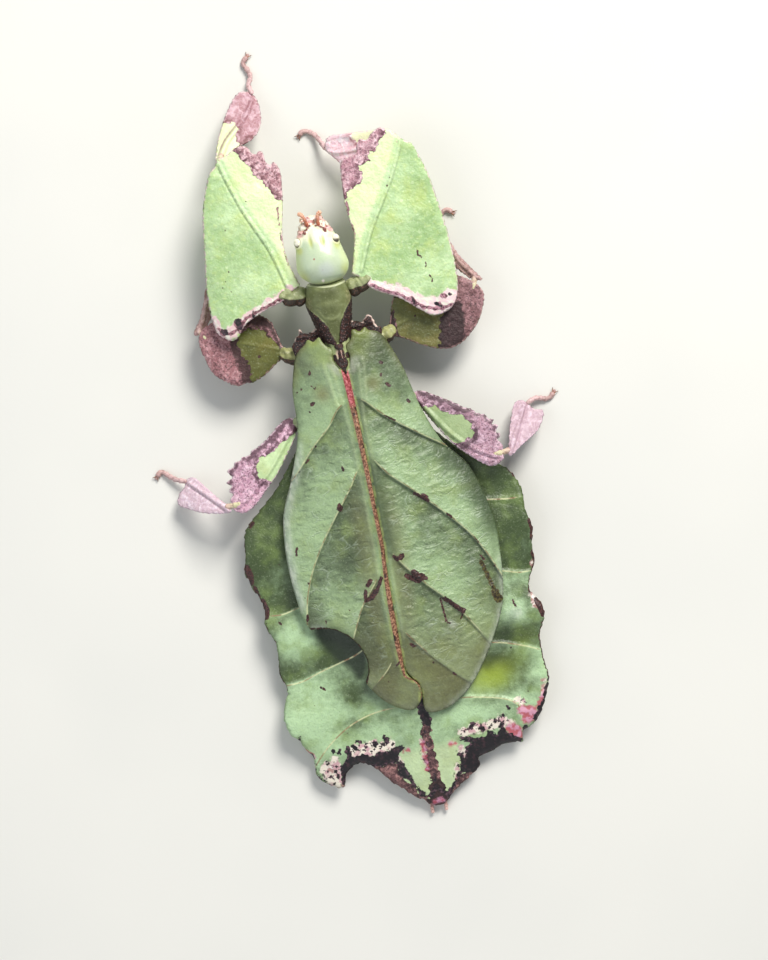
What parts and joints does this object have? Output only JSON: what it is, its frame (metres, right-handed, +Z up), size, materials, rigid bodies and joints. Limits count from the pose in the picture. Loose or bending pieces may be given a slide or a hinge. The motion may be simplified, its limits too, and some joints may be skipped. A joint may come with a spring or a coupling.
{
  "type": "leaf insect",
  "caption": "Broad flat leaf-shaped insect with veined wing covers, a waved leaf-like abdomen, lobed legs, short antennae and a small oval head, resting on its feet and belly.",
  "frame": {"origin": "on the floor under the middle of the plan bounding box", "axes": "-Y toward the head and +Y toward the tail, +Z up from the floor, -X toward the insect's right side"},
  "size_m": [0.0779, 0.148, 0.0155],
  "materials": {
    "pale_cuticle": "satin",
    "green_cuticle": "satin",
    "olive_cuticle": "satin",
    "brown_cuticle": "matt",
    "pink_cuticle": "matt",
    "antenna": "matt",
    "eye": "glossy"
  },
  "bodies": {
    "root": {"head": "pale_cuticle", "eye_left": "eye", "eye_right": "eye", "antenna_left": "antenna", "antenna_right": "antenna", "mouthparts": "pale_cuticle", "prothorax": "olive_cuticle", "mesothorax": "brown_cuticle", "metathorax": "olive_cuticle", "tegmen_left": "green_cuticle", "tegmen_right": "green_cuticle", "abdomen": "green_cuticle", "cercus_left": "pink_cuticle", "cercus_right": "pink_cuticle", "coxa_fore_left": "pale_cuticle", "femur_fore_left": "pale_cuticle", "tibia_fore_left": "pink_cuticle", "tarsus_fore_left": "pink_cuticle", "coxa_fore_right": "pale_cuticle", "femur_fore_right": "pale_cuticle", "tibia_fore_right": "pink_cuticle", "tarsus_fore_right": "pink_cuticle", "coxa_mid_left": "pale_cuticle", "femur_mid_left": "pale_cuticle", "tibia_mid_left": "pink_cuticle", "tarsus_mid_left": "pink_cuticle", "coxa_mid_right": "pale_cuticle", "femur_mid_right": "pale_cuticle", "tibia_mid_right": "pink_cuticle", "tarsus_mid_right": "pink_cuticle", "coxa_hind_left": "pale_cuticle", "femur_hind_left": "pale_cuticle", "tibia_hind_left": "pink_cuticle", "tarsus_hind_left": "pink_cuticle", "coxa_hind_right": "pale_cuticle", "femur_hind_right": "pale_cuticle", "tibia_hind_right": "pink_cuticle", "tarsus_hind_right": "pink_cuticle"}
  },
  "joints": []
}
